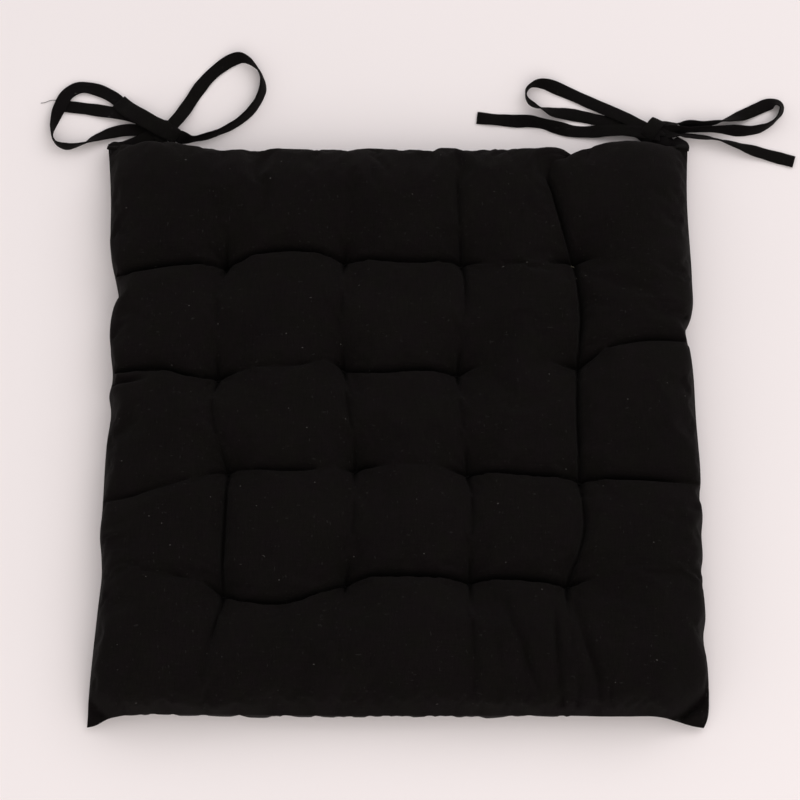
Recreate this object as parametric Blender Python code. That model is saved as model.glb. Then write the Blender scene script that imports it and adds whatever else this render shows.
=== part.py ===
"""A square cotton chair seat pad, tufted four by four, with a bow of flat fabric ties at each rear corner.

Metres, +Z up, +Y towards the rear edge that carries the ties, +X to the right.
The origin is on the surface the pad lies on, under the middle of the pad.
"""

import math

import bpy
from mathutils import Matrix, Vector

MM = 0.001

# The pad
HALF = 0.2            # half of the flat panel's side, corner to corner
SIDE_PULL = 0.028     # how far the middle of a side is pulled in, as a share of HALF
SEAM_Z = 0.0150       # height of the edge seam
TOP_RISE = 0.0290     # crown above the seam
BOTTOM_DROP = 0.0190  # roundness below the seam, before the surface flattens it
TOP_SHOULDER = 0.042  # width of the rounded edge, above and below
BOTTOM_SHOULDER = 0.024
FABRIC = 0.0008       # wall of a cover
SEAM_GAP = 0.0002     # from the seam's middle to each cover
FILL_GAP = 0.0007     # between a cover's inside and the filling

# The tufts
TUFT_PITCH = 0.078
TUFT_DIP = 0.0225     # how far a tuft pulls the crown down
TUFT_LIFT = 0.0100    # how far it pulls the underside up
TUFT_REACH = 0.021
HOLE = 0.0013         # half the hole that each thread passes through
DRIFT_REACH = 0.022   # how far round a tuft the fabric follows its drift

# How far each tuft is sewn from its marked place, in mm: rows from the rear, columns from the left.
TUFT_DRIFT = (
    ((1, -8), (2, -4), (2, -6), (0, -5)),
    ((-3, -10), (2, -4), (-1, -7), (1, -2)),
    ((5, 2), (9, 4), (5, 0), (0, -5)),
    ((3, -5), (4, 3), (6, 5), (-8, 3)),
)

# Lines of the surface grid from the middle outwards. Two close lines make the hole of a tuft.
NEAR, FAR = TUFT_PITCH / 2, TUFT_PITCH * 1.5
INNER_LINES = (0.014, NEAR - HOLE, NEAR + HOLE, TUFT_PITCH, FAR - HOLE, FAR + HOLE, 0.150, 0.179, 0.192)
COVER_LINES = INNER_LINES + (0.1975, HALF)

# The ties
TIE_WIDTH = 0.009
TIE_THICK = 0.001
TIE_STEP = 0.005

# Each tie from its root to its free end: x, y, z in mm, and the roll in degrees, 0 flat and 90 on its edge.
LEFT_OUTER = (
    (-189, 206.3, 1.4, 0), (-181, 210, 1.0, 0), (-171, 214.5, 1.0, 0), (-163, 218, 1.0, 0),
    (-157.5, 220.3, 1.05, 0), (-156.6, 220.7, 1.7, 0), (-157.5, 220.6, 2.35, 0),
    (-163, 222.5, 2.4, 0), (-175, 228.5, 2.4, 0), (-189, 237.5, 2.4, 0), (-200, 246, 2.2, 0),
    (-211, 251, 2.0, 0), (-221.5, 252, 2.2, 0), (-229.5, 246.5, 3.2, 5), (-234, 237, 4.3, 15),
    (-237, 228, 4.7, 50), (-239, 217, 5.0, 88), (-235.5, 208.5, 5.0, 90), (-228, 206, 5.0, 90),
    (-217, 208.5, 4.9, 70), (-208, 213, 3.8, 35), (-199, 216.8, 3.1, 8), (-190, 218.8, 3.4, 0),
    (-180, 219, 3.8, 0), (-170, 219, 3.8, 0), (-163, 219.5, 3.8, 0),
    (-158.5, 220, 3.85, 0), (-157.6, 220.3, 4.5, 0), (-158.5, 220.6, 5.15, 0),
    (-164, 222, 5.2, 0), (-173, 225.5, 5.2, 0), (-188, 230, 4.6, 0), (-202, 233.5, 2.4, 0),
    (-214, 236, 1.2, 0), (-225, 237.5, 1.1, 0), (-233.5, 238.5, 1.1, 0),
)
LEFT_INNER = (
    (-189, 206.3, 3.2, 0), (-181, 209, 4.6, 0), (-172, 212.5, 6.4, 0), (-163, 214.5, 6.6, 0),
    (-155, 213.8, 6.6, 0), (-151.5, 212.8, 6.4, 12), (-148, 211.9, 5.8, 45), (-143, 211.5, 5.1, 82),
    (-135, 213, 5.0, 88),
    (-124, 217, 5.0, 86), (-112, 224, 4.9, 78), (-102, 234, 4.7, 70), (-96.5, 244, 4.6, 66),
    (-94.5, 253, 4.6, 66), (-97, 262.5, 4.7, 74), (-102.5, 270, 4.8, 92), (-110, 274, 4.4, 120),
    (-117, 272.5, 3.2, 150), (-125.5, 267, 1.8, 170), (-134, 258.5, 1.2, 180), (-141, 247.5, 2.0, 160),
    (-146.5, 237, 3.8, 165), (-151, 228.5, 6.4, 180), (-156, 221, 8.0, 180), (-160.5, 214, 8.0, 180),
    (-165, 207.5, 8.0, 180),
)
RIGHT_OUTER = (
    (190.5, 206.3, 1.4, 0), (185, 207.5, 1.0, 0), (177, 211, 1.0, 0), (170, 215, 1.0, 0),
    (164, 218.5, 1.05, 0), (163.1, 219.0, 1.7, 0), (164, 219.0, 2.35, 0),
    (170, 220, 2.4, 0), (178, 221.5, 2.6, 0), (187, 222.8, 3.9, -45), (196, 223, 5.0, -90),
    (207, 223, 5.0, -90), (217, 224, 5.0, -80), (227, 227, 3.8, -45), (237, 231.5, 1.7, -10),
    (247, 236.5, 1.2, 0), (254, 239.5, 1.3, 0), (260, 239.3, 2.8, -30), (262.5, 234.5, 4.7, -70),
    (259.5, 228, 5.0, -90), (254, 222.5, 5.0, -90), (246, 219, 4.9, -75), (237, 218, 4.4, -60),
    (227, 218.5, 4.6, -65), (217, 219, 5.0, -85), (207, 219, 5.0, -90), (197, 218.5, 5.0, -90),
    (188, 218, 4.6, -50), (180, 217.5, 3.9, 0), (172, 217.5, 3.8, 0),
    (166, 218, 3.85, 0), (165.1, 218.2, 4.5, 0), (166, 218.2, 5.15, 0),
    (172, 217, 5.2, 0), (180, 215.5, 5.4, 0), (188, 214.5, 5.6, -45), (196, 214, 5.2, -80),
    (206, 213, 5.0, -80), (216, 211.5, 4.8, -70), (226, 209, 4.2, -50), (238, 205.3, 2.6, -25),
    (252, 201.2, 1.3, -5), (270, 196, 1.1, 0),
)
RIGHT_INNER = (
    (190.5, 206.3, 3.6, 0), (187.5, 206.8, 4.8, 0), (184, 207.8, 6.4, 0), (177, 211, 6.8, 0),
    (169, 215, 6.7, 0),
    (161, 218, 6.4, 0), (151, 222, 4.8, 0), (142, 225.5, 2.6, 0), (131, 229, 1.2, 0),
    (117, 232, 1.2, 0), (103, 233.5, 2.6, 30), (94, 236.5, 4.9, 80), (87.8, 241.5, 5.0, 90),
    (87, 248.3, 5.0, 90), (91.5, 253.2, 5.0, 90), (99, 254, 4.4, 60), (110, 250.7, 2.2, 20),
    (122, 245.4, 1.2, 0), (134, 239, 2.0, 0), (146, 232, 4.6, 0), (157, 225, 7.4, 0),
    (165, 220, 8.0, 0), (172, 215.8, 8.0, 0),
    (177, 212.8, 8.05, 0), (178.0, 212.3, 8.7, 0), (177, 212.4, 9.35, 0),
    (170, 213.5, 9.4, 0), (161, 215.5, 9.0, 0), (152, 217, 7.6, 0), (142, 218, 4.8, 0),
    (131, 218.3, 2.2, 0), (120, 219, 1.3, 0), (108, 221, 2.6, 35), (98, 223.5, 4.0, 60),
    (90, 225.4, 3.8, 50), (80, 226.5, 2.0, 15), (67, 228, 1.1, 0), (53, 229.5, 1.1, 0),
)
ROUTES = {
    "tie_left_outer": LEFT_OUTER,
    "tie_left_inner": LEFT_INNER,
    "tie_right_outer": RIGHT_OUTER,
    "tie_right_inner": RIGHT_INNER,
}

# The sewn roots, from the seam's corner down to where the ties bend, in mm.
ROOT_LEFT = ((-196.4, 202.0, 13.6, 0), (-195.9, 203.2, 9.0, 0), (-195.0, 204.4, 4.9, 0))
ROOT_RIGHT = ((196.4, 202.0, 13.6, 0), (196.6, 203.2, 9.0, 0), (196.4, 204.4, 4.9, 0))
HINGE_Y, HINGE_Z = 0.205, 0.004


def clear_scene():
    for obj in list(bpy.data.objects):
        bpy.data.objects.remove(obj, do_unlink=True)


def make_material(name, color, roughness):
    material = bpy.data.materials.new(name)
    material.use_nodes = True
    shader = material.node_tree.nodes["Principled BSDF"]
    shader.inputs["Base Color"].default_value = (*color, 1)
    shader.inputs["Roughness"].default_value = roughness
    shader.inputs["Metallic"].default_value = 0.0
    return material


def add_object(name, verts, faces, material, parent=None):
    mesh = bpy.data.meshes.new(name)
    mesh.from_pydata([tuple(v) for v in verts], [], faces)
    mesh.materials.append(material)
    mesh.update()
    obj = bpy.data.objects.new(name, mesh)
    bpy.context.scene.collection.objects.link(obj)
    if parent is not None:
        mesh.transform(Matrix.Translation(-parent.location))
        obj.parent = parent
    return obj


def tuft_marks():
    """Each tuft as its row, its column, its marked place and its drift."""
    marks = []
    for row, drifts in enumerate(TUFT_DRIFT):
        for column, (dx, dy) in enumerate(drifts):
            s = (column - 1.5) * TUFT_PITCH
            t = (1.5 - row) * TUFT_PITCH
            marks.append((row, column, s, t, dx * MM, dy * MM))
    return marks


TUFTS = tuft_marks()


def plan(s, t):
    """A point of the flat panel where the finished pad has it: sides pulled in, tufts drifted."""
    x = s * (1 - SIDE_PULL * (1 - abs(t / HALF) ** 3))
    y = t * (1 - SIDE_PULL * (1 - abs(s / HALF) ** 3))
    for _, _, ts, tt, dx, dy in TUFTS:
        weight = math.exp(-((s - ts) ** 2 + (t - tt) ** 2) / (2 * DRIFT_REACH**2))
        x += dx * weight
        y += dy * weight
    return x, y


def shoulder(distance, width):
    share = min(max(distance / width, 0.0), 1.0)
    return math.sqrt(1 - (1 - share) ** 2)


def rounded_edge(s, t, width):
    return shoulder(HALF - abs(s), width) * shoulder(HALF - abs(t), width)


def pinch(s, t, reach):
    """1 at a tuft, falling off round it as pulled cloth does."""
    nearest = min(math.hypot(s - ts, t - tt) for _, _, ts, tt, _, _ in TUFTS)
    return math.exp(-nearest / reach)


def top_z(s, t):
    crown = TOP_RISE - TUFT_DIP * pinch(s, t, TUFT_REACH)
    return SEAM_Z + crown * rounded_edge(s, t, TOP_SHOULDER)


def bottom_z(s, t):
    drop = BOTTOM_DROP * rounded_edge(s, t, BOTTOM_SHOULDER)
    return max(0.0, SEAM_Z - drop + TUFT_LIFT * pinch(s, t, 0.6 * TUFT_REACH))


def at_edge(s, t, limit):
    return max(abs(s), abs(t)) > limit - 1e-6


def top_outer(s, t):
    x, y = plan(s, t)
    return x, y, SEAM_Z + SEAM_GAP if at_edge(s, t, HALF) else top_z(s, t) + SEAM_GAP


def top_inner(s, t):
    x, y = plan(s, t)
    shrink = 1 - FABRIC / HALF
    z = SEAM_Z + SEAM_GAP if at_edge(s, t, HALF) else top_z(s, t) + SEAM_GAP - FABRIC
    return x * shrink, y * shrink, z


def bottom_outer(s, t):
    x, y = plan(s, t)
    return x, y, SEAM_Z - SEAM_GAP if at_edge(s, t, HALF) else bottom_z(s, t)


def bottom_inner(s, t):
    x, y = plan(s, t)
    shrink = 1 - FABRIC / HALF
    z = SEAM_Z - SEAM_GAP if at_edge(s, t, HALF) else bottom_z(s, t) + FABRIC
    return x * shrink, y * shrink, z


def filling_clearance(s, t):
    """More room near the rim, where the covers are steep."""
    return FABRIC + FILL_GAP + (0.0030 if at_edge(s, t, INNER_LINES[-1]) else 0.0)


def filling_top(s, t):
    x, y = plan(s, t)
    return x, y, top_z(s, t) - filling_clearance(s, t)


def filling_bottom(s, t):
    x, y = plan(s, t)
    return x, y, bottom_z(s, t) + filling_clearance(s, t)


def is_hole(s, t):
    return any(abs(s - ts) < HOLE and abs(t - tt) < HOLE for _, _, ts, tt, _, _ in TUFTS)


def layered_panel(name, upper, lower, half_lines, material, parent):
    """One closed body between two surfaces, open where each tuft's thread passes through."""
    lines = [-v for v in reversed(half_lines)] + list(half_lines)
    count = len(lines)
    size = count * count
    verts = [upper(s, t) for t in lines for s in lines]
    verts += [lower(s, t) for t in lines for s in lines]

    def open_cell(i, j):
        if not (0 <= i < count - 1 and 0 <= j < count - 1):
            return True
        return is_hole((lines[i] + lines[i + 1]) / 2, (lines[j] + lines[j + 1]) / 2)

    faces = []
    for j in range(count - 1):
        for i in range(count - 1):
            if open_cell(i, j):
                continue
            a, b = j * count + i, j * count + i + 1
            c, d = b + count, a + count
            faces += [(a, b, c), (a, c, d)]
            faces += [(c + size, b + size, a + size), (d + size, c + size, a + size)]
            sides = (((i, j - 1), a, b), ((i + 1, j), b, c), ((i, j + 1), c, d), ((i - 1, j), d, a))
            for neighbour, first, second in sides:
                if open_cell(*neighbour):
                    faces.append((second, first, first + size, second + size))
    return add_object(name, verts, faces, material, parent)


def tuft_stitch(row, column, s, t, material, parent):
    """One thread through the pad, with a short bar above and one below."""
    x, y = plan(s, t)
    top = top_z(s, t) + 0.0030
    bottom = bottom_z(s, t) - 0.0021
    web, bar, thick, half_depth = 0.0005, 0.0022, 0.0009, 0.0006
    profile = (
        (-bar, bottom - thick), (bar, bottom - thick), (bar, bottom), (web, bottom),
        (web, top), (bar, top), (bar, top + thick), (-bar, top + thick),
        (-bar, top), (-web, top), (-web, bottom), (-bar, bottom),
    )
    count = len(profile)
    verts = [(x + px, y - half_depth, pz) for px, pz in profile]
    verts += [(x + px, y + half_depth, pz) for px, pz in profile]
    faces = [(0, 1, 2, 3, 10, 11), (3, 4, 9, 10), (4, 5, 6, 7, 8, 9)]
    faces += [tuple(count + v for v in reversed(face)) for face in faces]
    faces += [(k + count, (k + 1) % count + count, (k + 1) % count, k) for k in range(count)]
    name = f"tuft_stitch_r{row + 1}c{column + 1}"
    return add_object(name, verts, faces, material, parent)


def smooth_route(points, step):
    """Points along one smooth curve through the given ones, closer together where those are."""
    rows = [Vector(p) for p in points]
    rows = [2 * rows[0] - rows[1]] + rows + [2 * rows[-1] - rows[-2]]
    out = []
    for p0, p1, p2, p3 in zip(rows, rows[1:], rows[2:], rows[3:]):
        t0 = 0.0
        t1 = t0 + max((p1 - p0).xyz.length, 1e-6) ** 0.5
        t2 = t1 + max((p2 - p1).xyz.length, 1e-6) ** 0.5
        t3 = t2 + max((p3 - p2).xyz.length, 1e-6) ** 0.5
        pieces = max(1, math.ceil((p2 - p1).xyz.length / step))
        for k in range(pieces):
            t = t1 + (t2 - t1) * k / pieces
            a1 = p0 * ((t1 - t) / (t1 - t0)) + p1 * ((t - t0) / (t1 - t0))
            a2 = p1 * ((t2 - t) / (t2 - t1)) + p2 * ((t - t1) / (t2 - t1))
            a3 = p2 * ((t3 - t) / (t3 - t2)) + p3 * ((t - t2) / (t3 - t2))
            b1 = a1 * ((t2 - t) / (t2 - t0)) + a2 * ((t - t0) / (t2 - t0))
            b2 = a2 * ((t3 - t) / (t3 - t1)) + a3 * ((t - t1) / (t3 - t1))
            out.append(b1 * ((t2 - t) / (t2 - t1)) + b2 * ((t - t1) / (t2 - t1)))
    out.append(rows[-2])
    return out


def ribbon_frames(route):
    """The middle, width direction and thickness direction at each point of a flat tie."""
    frames = []
    side = None
    for k, row in enumerate(route):
        before, after = route[max(k - 1, 0)].xyz, route[min(k + 1, len(route) - 1)].xyz
        along = (after - before).normalized()
        level = Vector((-along.y, along.x, 0.0))
        if side is None:
            side = level.normalized()
        elif level.length > 0.15:
            level.normalize()
            side = level if level.dot(side) > 0 else -level
        roll = math.radians(row.w)
        width = side * math.cos(roll) + Vector((0, 0, math.sin(roll)))
        width = (width - along * width.dot(along)).normalized()
        frames.append((row.xyz, width, along.cross(width).normalized()))
    return frames


def rest_height(roll, width, thick):
    """The lowest that the middle of a tie lies on the surface at this roll."""
    turn = math.radians(roll)
    return abs(math.sin(turn)) * width / 2 + abs(math.cos(turn)) * thick / 2 + 0.0003


def flat_tie(name, route_mm, width, thick, material, parent):
    """A flat strip of fabric along a route, closed at both ends."""
    points = [(x * MM, y * MM, z * MM, roll) for x, y, z, roll in route_mm]
    route = smooth_route(points, TIE_STEP)
    for row in route:
        row.z = max(row.z, rest_height(row.w, width, thick))
    verts, faces = [], []
    for middle, across, normal in ribbon_frames(route):
        for a, b in ((-1, -1), (1, -1), (1, 1), (-1, 1)):
            verts.append(middle + across * (a * width / 2) + normal * (b * thick / 2))
    rings = len(verts) // 4
    for k in range(rings - 1):
        for e in range(4):
            a, b = 4 * k + e, 4 * k + (e + 1) % 4
            faces.append((a, b, b + 4, a + 4))
    faces.append((3, 2, 1, 0))
    last = 4 * (rings - 1)
    faces.append((last, last + 1, last + 2, last + 3))
    return add_object(name, verts, faces, material, parent)


def rim_point(s, t, inset):
    """A point just inside the seam's rim, at the seam's height, and further inside at a corner."""
    x, y = plan(s, t)
    if abs(s) == abs(t):
        inset *= 3
    return Vector((x * (1 - inset / HALF), y * (1 - inset / HALF), SEAM_Z))


def seam_line(closing_half, inset, per_side):
    """The edge seam from one end of the closing stretch round to the other, and the closing stretch."""
    share = [-1 + 2 * k / per_side for k in range(per_side + 1)]
    rear = [v for v in share if v * HALF > closing_half + 0.004]
    edge = [(closing_half, HALF)] + [(v * HALF, HALF) for v in rear]
    edge += [(HALF, -v * HALF) for v in share[1:]]
    edge += [(-v * HALF, -HALF) for v in share[1:]]
    edge += [(-HALF, v * HALF) for v in share[1:]]
    edge += [(-v * HALF, HALF) for v in reversed(rear[:-1])] + [(-closing_half, HALF)]
    gap = 0.0006
    closing = [(-closing_half + gap, HALF), (0.0, HALF), (closing_half - gap, HALF)]
    return [rim_point(s, t, inset) for s, t in edge], [rim_point(s, t, inset) for s, t in closing]


def thread_tube(name, points, radius, material, parent):
    """A thread as a square-section tube along a polyline in the seam's plane."""
    verts, faces = [], []
    for k, point in enumerate(points):
        along = (points[min(k + 1, len(points) - 1)] - points[max(k - 1, 0)]).normalized()
        side = Vector((-along.y, along.x, 0.0)).normalized()
        for a, b in ((-1, -1), (1, -1), (1, 1), (-1, 1)):
            verts.append(point + side * (a * radius) + Vector((0, 0, b * radius)))
    for k in range(len(points) - 1):
        for e in range(4):
            a, b = 4 * k + e, 4 * k + (e + 1) % 4
            faces.append((a, b, b + 4, a + 4))
    last = 4 * (len(points) - 1)
    faces += [(3, 2, 1, 0), (last, last + 1, last + 2, last + 3)]
    return add_object(name, verts, faces, material, parent)


def bow_pivot(name, x):
    pivot = bpy.data.objects.new(name, None)
    pivot.location = (x, HINGE_Y, HINGE_Z)
    bpy.context.scene.collection.objects.link(pivot)
    return pivot


def build():
    clear_scene()
    cotton = make_material("cover_cotton", (0.0052, 0.0046, 0.0044), 0.92)
    tape = make_material("tie_cotton", (0.0075, 0.0068, 0.0065), 0.90)
    wadding = make_material("wadding", (0.78, 0.77, 0.73), 0.95)
    thread = make_material("thread", (0.010, 0.009, 0.009), 0.70)

    pad = bpy.data.objects.new("pad_origin", None)
    bpy.context.scene.collection.objects.link(pad)
    layered_panel("top_cover", top_outer, top_inner, COVER_LINES, cotton, pad)
    layered_panel("bottom_cover", bottom_inner, bottom_outer, COVER_LINES, cotton, pad)
    layered_panel("filling", filling_top, filling_bottom, INNER_LINES, wadding, pad)
    for row, column, s, t, _, _ in TUFTS:
        tuft_stitch(row, column, s, t, thread, pad)

    edge, closing = seam_line(closing_half=0.070, inset=0.0022, per_side=12)
    thread_tube("edge_seam_thread", edge, 0.0003, thread, pad)
    thread_tube("closing_seam_thread", closing, 0.0003, thread, pad)
    flat_tie("tie_root_left", ROOT_LEFT, TIE_WIDTH, 2 * TIE_THICK, tape, pad)
    flat_tie("tie_root_right", ROOT_RIGHT, TIE_WIDTH, 2 * TIE_THICK, tape, pad)

    left = bow_pivot("bow_left_pivot", -0.190)
    right = bow_pivot("bow_right_pivot", 0.193)
    for name, route in ROUTES.items():
        flat_tie(name, route, TIE_WIDTH, TIE_THICK, tape, left if "left" in name else right)


build()
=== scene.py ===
"""A black cotton chair seat pad with sixteen tufts and two tie bows, on a pale floor.

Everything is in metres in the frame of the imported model: +Z up, +Y towards the rear edge with the ties.
"""

import math

import bpy
import numpy as np
from mathutils import Euler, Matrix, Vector, noise


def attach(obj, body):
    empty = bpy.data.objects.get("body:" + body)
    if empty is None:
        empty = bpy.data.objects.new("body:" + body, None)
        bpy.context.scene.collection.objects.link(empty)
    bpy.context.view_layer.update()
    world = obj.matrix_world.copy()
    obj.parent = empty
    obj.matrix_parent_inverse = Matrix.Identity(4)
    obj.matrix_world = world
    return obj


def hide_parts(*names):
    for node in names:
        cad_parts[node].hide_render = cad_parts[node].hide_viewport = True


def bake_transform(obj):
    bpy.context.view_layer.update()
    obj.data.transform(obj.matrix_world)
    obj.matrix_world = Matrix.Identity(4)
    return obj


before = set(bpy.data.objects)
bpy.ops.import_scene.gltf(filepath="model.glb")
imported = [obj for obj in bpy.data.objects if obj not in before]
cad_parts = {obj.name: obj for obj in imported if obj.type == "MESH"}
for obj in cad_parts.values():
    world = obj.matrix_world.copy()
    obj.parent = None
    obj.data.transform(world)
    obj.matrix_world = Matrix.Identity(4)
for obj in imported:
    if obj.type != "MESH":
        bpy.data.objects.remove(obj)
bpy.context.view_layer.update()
MM = 0.001

# ---------------------------------------------------------------- dimensions
HALF = 0.2               # half of the flat panel's side
SEAM_Z = 0.0150          # height of the sewn edge
TOP_RISE = 0.0235        # crown above the seam before the cloth puffs out
BOTTOM_DROP = 0.0185     # roundness below the seam
TOP_SHOULDER = 0.036     # width of the rounded edge above the seam, and below it
BOTTOM_SHOULDER = 0.024
TUFT_LINES = (-0.117, -0.039, 0.039, 0.117)
TUFT_TOP_Z = 0.0215      # where the tufts hold the top panel, and the bottom one
TUFT_BOTTOM_Z = 0.0065
TUFT_SPREAD_TOP = 0.013  # how far round a tuft each panel is pulled in
TUFT_SPREAD_BOTTOM = 0.014
EDGE_EASE = 0.012        # how near a side the tuft lines stop following the creases
SWELL = 0.0042           # how far the filling pushes the panels out beside the seam
SWELL_WIDTH = 0.022
SWELL_EASE = 0.03        # how far from the side's ends it is fully out
PANEL_GAP = 0.0006       # half of the least gap between the two panels
WEAVE_PITCH = 0.00055    # from one thread of the cotton to the next but one
TIE_WIDTH = 0.009
TIE_THICK = 0.0011
TIE_STEP = 0.0012        # from one section of a tie to the next
LEFT_BAND_WIDTH = 0.0122
RIGHT_BAND_WIDTH = 0.0098
BAND_THICK = 0.0013
ROOT_THICK = 1.9 * TIE_THICK  # two ties lie on each other in a root
FLOOR_GAP = 0.0003       # least gap between a tie and the floor it lies on

# How the cloth settles.
CLOTH_FRAMES = 20
MOST_SETTLING = 0.009    # the farthest that any point moves
DEEP_CREASE = 0.0075     # a crease this deep is held with the whole crease grip
CREASE_GRIP = 0.55
CREASE_GRIP_WIDTH = 0.0015
LEAST_GRIP = 0.03        # a weaker grip is left out
EAR_GRIP = 0.9           # how firmly the flat ears are held

# Small detail on the settled top. Widths are half widths.
FOLD_WIDTH = 0.0022      # the folded bottom of a crease, and the soft dip round it
DIP_WIDTH = 0.0060
NICK_DEPTH = 0.0065      # the hole that a tuft's thread pulls
NICK_WIDTH = 0.0040
PUCKER_HEIGHT = 0.0005   # a ring of puckers round each tuft
PUCKER_RING = 0.008
PUCKER_WIDTH = 0.007
RIPPLE_HEIGHT = 0.0011   # ripples this far inside the seam
RIPPLE_INSET = 0.010
RIPPLE_WIDTH = 0.009
UNEVEN_HEIGHT = 0.0007   # the cloth's broad and fine unevenness
FINE_HEIGHT = 0.0002
WRINKLE_GAIN = 2.2       # how much deeper a loose wrinkle is cut than its table says

# Threads: the radius of each kind, and where the seam runs.
TUFT_THREAD = 0.0003
SEAM_THREAD = 0.00028
CLOSING_THREAD = 0.00022
FRAY_THREAD = 0.00018
SEAM_INSET = 0.0016
CLOSING_SPAN = (0.33, 0.67)  # where along the rear side the closing stitches begin and end

# The sewn outline in mm: along the panel's side, then where the seam lies across it.
OUTLINE = {
    "left": ((-200, -200.5), (-165, -198), (-130, -195), (-112, -193.5), (-95, -194), (-60, -195.5),
             (-40, -194.5), (0, -193), (18, -191), (28, -192.5), (35, -191), (60, -192.5), (92, -191.5),
             (103, -188.5), (113, -190), (130, -194), (166, -196), (200, -199)),
    "right": ((-200, 194.5), (-196, 196.5), (-190, 197.8), (-182, 198), (-165, 197.5), (-148, 195.5),
              (-140, 197), (-118, 196), (-107, 195.5), (-100, 196.5), (-76, 196.5), (-55, 197.5), (-45, 196),
              (-35, 197), (0, 195.5), (30, 194), (46, 191), (53, 190.5), (62, 193.5), (75, 195.5),
              (110, 196), (166, 194.5), (200, 196)),
    "front": ((-200, -205), (-194, -204), (-187, -201.5), (-178, -200.2), (-120, -199.2), (-80, -199.6),
              (-40, -200), (20, -200), (96, -199.8), (150, -200.5), (172, -200.6), (180, -201.8),
              (188, -203.6), (200, -205.3)),
    "rear": ((-200, 203), (-188, 202.5), (-165, 202), (-150, 201), (-130, 198), (-108, 195.5),
             (-100, 194.5), (-90, 196), (-55, 196.5), (-15, 196.5), (5, 196), (20, 195.8), (26, 196.4),
             (52, 195.6), (60, 196.2), (95, 196.6), (106, 196.2), (114, 193.5), (121, 193), (131, 197),
             (148, 200.5), (170, 201), (188, 201.2), (200, 201)),
}

# The flat flap at each corner of the seam: side signs and how far it reaches along the sides.
EARS = {(-1, -1): 0.016, (1, -1): 0.024, (-1, 1): 0.010, (1, 1): 0.012}

# Folds inside the front flaps and the crests that stand up in them, in mm: x, y and depth or height along
# each, and its half width.
EAR_HOLLOWS = (
    (((176, -204, 3.0), (181, -199, 6.5), (187, -193, 6.5), (194, -187, 3.0)), 3.0),
    (((-186, -204, 1.5), (-190, -198, 4.0), (-196, -192, 2.0)), 2.4),
)
EAR_CRESTS = (
    (((187, -199, 2.5), (192, -199, 4.5), (197, -197, 3.0)), 2.2),
    (((-193, -200, 1.0), (-199, -204, 1.5)), 2.4),
)

# How far the front flaps hang down, and over what reach.
EAR_DROOP = {(-1, -1): (0.010, 0.014), (1, -1): (0.010, 0.020)}

# The creases that join the tufts, in mm: along the panel, where the crease lies, how deep it is folded.
# Rows run from the left and are listed from the front. Columns run from the front, listed from the left.
ROW_CREASES = (
    ((-200, -112, 0), (-165, -110, 0.8), (-150, -112, 3), (-130, -116, 3.5), (-117, -121, 6),
     (-103, -127, 5.5), (-88, -129, 5.5), (-70, -127, 5.5), (-54, -121, 5.5), (-39, -114, 6),
     (-25, -111, 6.5), (0, -110.5, 6.5), (39, -112, 7), (75, -112.5, 6.5), (117, -114.5, 7),
     (140, -113, 1.5), (165, -112, 0.6), (200, -112, 0)),
    ((-200, -60, 0.8), (-185, -58.5, 3.5), (-165, -53, 3.5), (-140, -46, 3), (-117, -37, 5),
     (-95, -38.5, 4.5), (-70, -39, 4.5), (-50, -38, 2.2), (-39, -35.5, 6), (-15, -36.5, 2.5),
     (15, -37, 2.5), (39, -38.5, 6), (60, -40, 5.5), (90, -42, 6), (117, -43, 6.5), (145, -44.5, 6),
     (170, -46, 5), (188, -47, 3), (200, -47, 1.5)),
    ((-200, 31, 2.5), (-187, 32, 5), (-170, 32.5, 5.5), (-155, 31.5, 5.5), (-138, 27.5, 5.5),
     (-117, 29, 6), (-98, 31, 3.2), (-66, 34, 3.5), (-47, 38.5, 4), (-39, 35.5, 6), (-31, 32, 5.5),
     (10, 31.5, 5.5), (39, 32, 6), (60, 34, 1.5), (90, 36, 1.2), (117, 37, 6), (135, 45, 4),
     (158, 51, 4.5), (180, 53, 4.5), (200, 53, 3)),
    ((-200, 102, 4), (-185, 103, 5.5), (-160, 106, 5.5), (-135, 108, 5.5), (-117, 109, 6), (-98, 114, 5),
     (-78, 117, 5.5), (-58, 116, 5.5), (-39, 113, 6), (-15, 110, 5), (12, 109, 5), (39, 111, 5.5),
     (62, 106, 2.5), (88, 105, 1.5), (117, 112, 6), (140, 110, 1), (165, 110, 0.3), (200, 110, 0)),
)
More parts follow.
